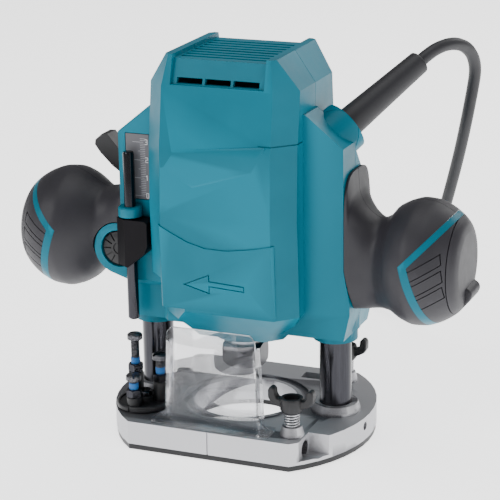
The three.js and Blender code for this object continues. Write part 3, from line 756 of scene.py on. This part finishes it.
def body_solid(inset):
    """The housing's outer shape, moved inwards by inset."""
    rings = []
    for w, f, b, c, z in BODY_LEVELS:
        w, f, b, c = w - inset, f - inset, b - inset, c - inset * 0.4
        plan = [(-w + c, -f), (w - c, -f), (w, -f + c), (w, b - c),
                (w - c, b), (-w + c, b), (-w, b - c), (-w, -f + c)]
        rings.append([(x, y, z) for x, y in plan])
    return loft("body_solid", rings)


def grown(points, by):
    """Corners of the closed outline after each side has moved outwards."""
    moved = []
    count = len(points)
    for i in range(count):
        a, b, c = (Vector(points[(i + k) % count]) for k in (-1, 0, 1))
        n1 = Vector((-(b - a).y, (b - a).x)).normalized()
        n2 = Vector((-(c - b).y, (c - b).x)).normalized()
        n = (n1 + n2).normalized()
        moved.append(b - n * by / max(0.3, n.dot(n1)))
    return moved


def outline_band(name, points, width):
    """A closed line of that width in X and Z, deep enough to engrave the front."""
    outer = panel(name, points, -60, -20)
    return boolean(outer, panel("inner", [tuple(p) for p in grown(points, -width)], -70, -10))


SHIELD = [(-31.0, 155.7), (-12.5, 146.4), (21.5, 156.5), (28.6, 171.2), (-24.4, 165.6)]
ARROW = [(-4, 88.2), (-4, 92.2), (16, 91.2), (16, 94.6), (-4, 95.6), (-4, 99.4), (-19.5, 92.3)]
BULGE = [(-33, 60), (33, 60), (33, 118.6), (27, 117.2), (18, 115.2), (6, 113.4), (-6, 113.6),
         (-16, 116.2), (-25, 120.4), (-33, 124.6)]


def open_collar(obj):
    """Flared mouth in the collar that the cord guard leaves through."""
    flare = [(-4.5, 9.2), (-3, 9.6), (1.2, 11.6), (4, 13.6)]
    return boolean(obj, turned("mouth", tuple(COLLAR), tuple(CORD_DIR), flare, 64))


def shield_field():
    """Blank raised field with sloping sides on the leaning front."""
    rings = []
    for deep, grow in ((-0.9, -1.7), (0, 0), (1.6, 0)):
        rings.append([(x, -39.4 + (z - 146) * 0.05 + deep, z) for x, z in grown(SHIELD, grow)])
    return boolean(loft("shield", rings), body_solid(-0.75), "INTERSECT")


def front_details(obj):
    """Everything that stands on the front of the housing or is pressed into it."""
    open_collar(obj)
    boolean(obj, shield_field(), "UNION")
    engrave(obj, box("brow", 24.5, 45, -60, -20, 171.0, 171.7), body_solid(0.5))
    swell = boolean(panel("swell", BULGE, -60, -10), body_solid(-0.55), "INTERSECT")
    boolean(swell, box("keep", -60, 60, -60, 60, 0, 78))
    boolean(swell, body_solid(0.2))
    boolean(obj, swell, "UNION")
    engrave(obj, outline_band("arrow", ARROW, 0.6), body_solid(0.1))


def bevel_left(obj):
    """Slant the left part of the pointer's front."""
    plan = [(-70, -34), (-56.6, -34), (-57.6, -30.3), (-63.7, -26.4), (-70, -22.4)]
    boolean(obj, loft("wedge", [[(x, y, z) for x, y in plan] for z in (90, 130)]))


refine("housing_rear", 0.8, 3, extra=open_collar)
refine("housing_front", 0.8, 3, extra=front_details)
refine("base_casting", 0.7, 3)
refine("sole_plate", 0.4)
refine("chip_guard", 0.35, 2)
refine("depth_pointer", 0.9, 4, material="deep_black", extra=bevel_left)
refine("lock_lever", 1.4, 4)
refine("switch_lever", 1.0, 4)
refine("shaft_lock_button", 0.6, 3)
for name in ("lock_bolt", "collet_nut"):
    refine(name, 0.4, 2)
for number in (1, 2, 3, 4):
    refine(f"housing_screw_{number}", 0.2)


# ------------------------------------------------------------------ wing bolts, with their springs
def wire(name, x, y, z0, z1, radius, thick, turns):
    """Spring wire whose last turn at each end lies flat."""
    points = []
    steps = int(turns * 24)
    for i in range(steps + 1):
        t = i / steps * turns
        flat = min(1.0, max(0.0, (t - 0.8) / (turns - 1.6)))
        a = 2 * math.pi * t
        z = z0 + thick + (z1 - z0 - 2 * thick) * flat
        points.append(Vector((x + radius * math.cos(a), y + radius * math.sin(a), z)))
    return tube(name, points, thick, 8)


def make_wing_bolt(place, y):
    """Dished hub with two ears, its stem, and the spring under its head."""
    x = 44
    profile = [(28.9, 3.4), (29, 5.0), (31, 6.4), (36, 6.4), (37.5, 6.0), (37.6, 5.2), (37.4, 4.5),
               (34.6, 4.3), (34.5, 0.1)]
    arm = [(3.2, 30.6), (8.6, 32.6), (11.4, 34.2), (12.8, 36.6), (12.9, 40.6), (12.0, 42.5), (10.2, 42.6),
           (9.0, 41.2), (8.7, 38.4), (7.6, 36.8), (5.4, 36.2), (4.9, 33)]
    hub = upright("wing_bolt_fine", x, y, profile, 48)
    for e in (-1, 1):
        ear = rounded(panel("ear", [(x + e * u, v) for u, v in arm], y - 2.6, y + 2.6), 1.5, 4, 50)
        boolean(hub, ear, "UNION")
    boolean(hub, upright("stem", x, y, [(14.2, 1.6), (14.8, 2.45), (33, 2.45)], 32), "UNION")
    rounded(hub, 0.35, 2, 45)
    use(hub, f"wing_bolt_{place}")
    use(wire(f"wing_spring_{place}", x, y, 21.75, 28.85, 3.9, 0.52, 5.6), f"wing_bolt_spring_{place}")


make_wing_bolt("front", -43)
make_wing_bolt("rear", 43)


# ------------------------------------------------------------------ turret and its three stop bolts
TURRET = (-49, -30)
STOPS = {"tall": (141, 33, 55), "short": (261, 24, 37), "middle": (21, 30, 46)}


def make_turret():
    """Dished disc with a hub and three bored posts, and its centre screw."""
    edge = [(16.3, 14.6), (16.7, 15), (18.5, 15), (19.2, 14.7), (19.6, 14.1)]
    disc = upright("turret_fine", *TURRET, edge, 96)
    boolean(disc, upright("dish", *TURRET, [(18.9, 12.9), (20, 13.4)], 96))
    boolean(disc, upright("hub", *TURRET, [(18, 5.6), (21.7, 5.6), (22, 5.3)], 48), "UNION")
    for angle, top, _ in STOPS.values():
        x, y = stop_place(angle)
        profile = [(18, 4.1), (top - 0.4, 4.1), (top, 3.7)]
        boolean(disc, upright("post", x, y, profile, 48), "UNION")
    boolean(disc, upright("bore", *TURRET, [(10, 3), (30, 3)], 32))
    for angle, top, _ in STOPS.values():
        x, y = stop_place(angle)
        boolean(disc, upright("bore", x, y, [(20, 2.8), (top - 0.7, 2.8), (top + 0.1, 3.4)], 32))
    for i in range(3):
        a = math.radians(STOPS["tall"][0] + 120 * i)
        x, y = TURRET[0] + 15.2 * math.cos(a), TURRET[1] + 15.2 * math.sin(a)
        boolean(disc, upright("detent", x, y, [(15, 0.9), (21, 0.9)], 16))
    use(smooth(clean(disc, 0.5)), "turret")
    profile = [(12, 2.2), (12.4, 2.6), (22.3, 2.6), (22.32, 4.6), (24.2, 4.6), (24.8, 4.0), (25, 3.0)]
    screw = upright("turret_screw_fine", *TURRET, profile, 48)
    cross_recess(screw, *TURRET, 20, 2.3, 0.55, 23.6, 26)
    use(smooth(screw), "turret_screw")


def stop_place(angle):
    a = math.radians(angle)
    return TURRET[0] + 9.5 * math.cos(a), TURRET[1] + 9.5 * math.sin(a)


def make_stop(name, angle, top, head):
    """Slotted knurled bolt with its thread-lock patch and its lock nut."""
    x, y = stop_place(angle)
    threads = [(20.5, 1.7), (21, 2.1)]
    z = 21.2
    while z < head - 4.4:
        threads += [(z, 2.12), (z + 0.3, 2.4), (z + 0.5, 2.4), (z + 0.8, 2.12)]
        z += 0.8
    cap = [(head - 3.5, 2.4), (head - 3.4, 3.9), (head - 3.1, 4.25), (head - 0.7, 4.25), (head - 0.1, 3.7),
           (head, 2.8)]
    bolt = upright(f"stop_bolt_{name}_fine", x, y, threads + cap, 40)
    boolean(bolt, turn_to(box("slot", -6, 6, -0.6, 0.6, head - 1.3, head + 1), x, y, angle + 35))
    for i in range(20):
        a = 2 * math.pi * i / 20
        nick = [(head - 4, 0.34), (head + 1, 0.34)]
        boolean(bolt, upright("nick", x + 4.45 * math.cos(a), y + 4.45 * math.sin(a), nick, 6))
    use(smooth(bolt), f"stop_bolt_{name}", "bolt")
    low = top + 4.5
    profile = [(low, 2.5), (low + 0.3, 2.62), (low + 3.4, 2.62), (low + 3.7, 2.45)]
    patch = upright(f"lock_patch_{name}", x, y, profile, 40)
    boolean(patch, upright("core", x, y, [(low - 1, 2.41), (low + 6, 2.41)], 40))
    trim(smooth(patch), BODY_OF[f"stop_bolt_{name}"], "blue_patch")
    nut = upright(f"stop_nut_{name}_fine", x, y, [(top + 0.3, 4.4), (top + 4.3, 4.4)], 6)
    dome = [(top, 3.7), (top + 0.9, 4.5), (top + 3.7, 4.5), (top + 4.6, 3.7)]
    boolean(nut, upright("dome", x, y, dome, 48), "INTERSECT")
    boolean(nut, upright("bore", x, y, [(top, 2.75), (top + 5, 2.75)], 32))
    use(smooth(nut, 25), f"stop_nut_{name}")


make_turret()
for stop_name, (stop_angle, post_top, head_top) in STOPS.items():
    make_stop(stop_name, stop_angle, post_top, head_top)


# ------------------------------------------------------------------ depth stop
ROD_X, ROD_Y, ROD_R = -56.4, -24, 3.1
rod_profile = [(63.8, 2.3), (64.6, ROD_R), (157.8, ROD_R), (158.7, 2.7), (159, 2.0)]
use(smooth(upright("stop_rod_fine", ROD_X, ROD_Y, rod_profile, 48)), "stop_rod")


def make_wheel():
    """Fluted knob wheel with rays pressed into its face."""
    x, z = WHEEL_X, WHEEL_Z
    profile = [(-19, 8.7), (-18.4, 9.6), (-17.8, 9.9), (-12.6, 9.9), (-12, 9.3)]
    wheel = turned("clamp_wheel_fine", (x, 0, z), (0, 1, 0), profile, 72)
    boolean(wheel, turned("dish", (x, 0, z), (0, 1, 0), [(-19.6, 3.6), (-18.5, 3.0)], 48))
    for i in range(12):
        a = math.pi * i / 6
        ray = box("ray", 4.6, 12, -20, -18.1, -0.42, 0.42)
        ray.data.transform(Matrix.Translation(Vector((x, 0, z)) * MM) @ Matrix.Rotation(a, 4, "Y"))
        boolean(wheel, ray)
        at = (x + 10.3 * math.cos(a + 0.26), 0, z + 10.3 * math.sin(a + 0.26))
        boolean(wheel, turned("flute", at, (0, 1, 0), [(-30, 1.0), (0, 1.0)], 16))
    use(smooth(clean(wheel, 0.4)), "clamp_wheel")


make_wheel()

# Scale plate with printed divisions: a long one every centimetre, a middle one every half.
use(rounded(cad_copy("depth_scale"), 0.25), "depth_scale")
SCALE_Z0 = 133.2
SCALE_RIGHT = -48.6
DIGIT_X, DIGIT_DROP = -48.5, 1.1
GRID_X, GRID_Z = 0.62, 0.66


def on_scale(name, points, material):
    """Ink a little proud of the scale's face."""
    mark = panel(name, points, -19.24, -19.16)
    return trim(mark, BODY_OF["depth_scale"], material)


for step in range(33):
    reach = 6.4 if step % 10 == 0 else 4.2 if step % 5 == 0 else 3.0
    right = SCALE_RIGHT if step % 10 else SCALE_RIGHT - 1
    low, high = SCALE_Z0 + step - 0.13, SCALE_Z0 + step + 0.13
    on_scale("scale_mark", [(right - reach, low), (right, low), (right, high), (right - reach, high)],
             "print_grey")

STROKES = {  # strokes of each digit on a grid 2 wide and 4 high
    "0": ["0,0 2,0 2,4 0,4 0,0"],
    "1": ["0.2,3.2 1,4 1,0"],
    "2": ["0,4 2,4 2,2 0,2 0,0 2,0"],
    "3": ["0,4 2,4 2,0 0,0", "0.6,2 2,2"],
}
for number in range(4):
    for stroke in STROKES[str(number)]:
        corners = [tuple(map(float, c.split(","))) for c in stroke.split()]
        for (x0, z0), (x1, z1) in zip(corners, corners[1:]):
            foot = SCALE_Z0 + 10 * number - DIGIT_DROP
            a = Vector((DIGIT_X + x0 * GRID_X, foot + z0 * GRID_Z))
            b = Vector((DIGIT_X + x1 * GRID_X, foot + z1 * GRID_Z))
            d = (b - a).normalized() * 0.2
            n = Vector((-d.y, d.x))
            on_scale("scale_digit", (a - d - n, b + d - n, b + d + n, a - d + n), "print_white")


# ------------------------------------------------------------------ columns and sole screws
COLUMN_X = 53.2
SPRING_LOW, SPRING_HIGH = 60.6, 160.2
for side, x in (("left", -COLUMN_X), ("right", COLUMN_X)):
    column = upright(f"column_{side}_fine", x, 0, [(8.3, 8.4), (8.7, 8.8), (122.8, 8.8), (124, 7.8)], 72)
    boolean(column, upright("bore", x, 0, [(60, 6.6), (126, 6.6)], 40))
    use(smooth(column), f"column_{side}")
    spring = wire(f"column_spring_{side}_fine", x, 0, SPRING_LOW, SPRING_HIGH, 5.2, 0.85, 9)
    use_across_plunge(spring, [f"column_spring_{side}"])

for number, (x, y) in enumerate([(-30, 44), (-66, 12), (66, 12), (33, -51)]):
    profile = [(0.35, 2.9), (0.55, 3.15), (1.4, 3.15), (2.9, 1.65), (9.4, 1.65), (10, 1.2)]
    screw = upright(f"sole_screw_{number + 1}", x, y, profile, 32)
    cross_recess(screw, x, y, 25, 1.9, 0.4, 0, 1.5)
    trim(smooth(screw), BODY_OF["sole_plate"], "steel")


# ------------------------------------------------------------------ floor, light and materials
def stage():
    """A plain light floor, a white world and four square lamps."""
    bm = bmesh.new()
    bmesh.ops.create_grid(bm, x_segments=1, y_segments=1, size=20)
    floor = from_bmesh("floor", bm)
    n = Nodes("floor_paper")
    n.link(n.mix(n.noise(3, 3), (0.93, 0.93, 0.93, 1), (0.95, 0.95, 0.95, 1)), n.color)
    n.put(Roughness=0.9, Emission_Color=(1, 1, 1, 1), Emission_Strength=1.9)
    floor.data.materials.append(n.material)
    floor.location.z = -0.0002
    world = bpy.data.worlds.new("studio")
    world.use_nodes = True
    world.node_tree.nodes["Background"].inputs["Color"].default_value = (1, 1, 1, 1)
    world.node_tree.nodes["Background"].inputs["Strength"].default_value = 0.3
    bpy.context.scene.world = world
    lamps = [
        ("key", (-0.8, -1.1, 1.0), 0.8, 12),
        ("fill", (1.4, -0.5, 0.5), 0.8, 4.5),
        ("top", (0.1, 0.1, 1.5), 1.1, 9),
        ("back", (0.5, 1.3, 0.9), 0.8, 7),
    ]
    for name, place, size, power in lamps:
        data = bpy.data.lights.new(name, "AREA")
        data.shape, data.size, data.energy = "SQUARE", size, power
        lamp = new_object(name, data)
        lamp.location = place
        lamp.rotation_euler = (Vector((0, 0, 0.1)) - Vector(place)).to_track_quat("-Z", "Y").to_euler()


stage()
for name, obj in NODES.items():
    paint(obj, SLOT_OF[name])

bpy.context.view_layer.update()
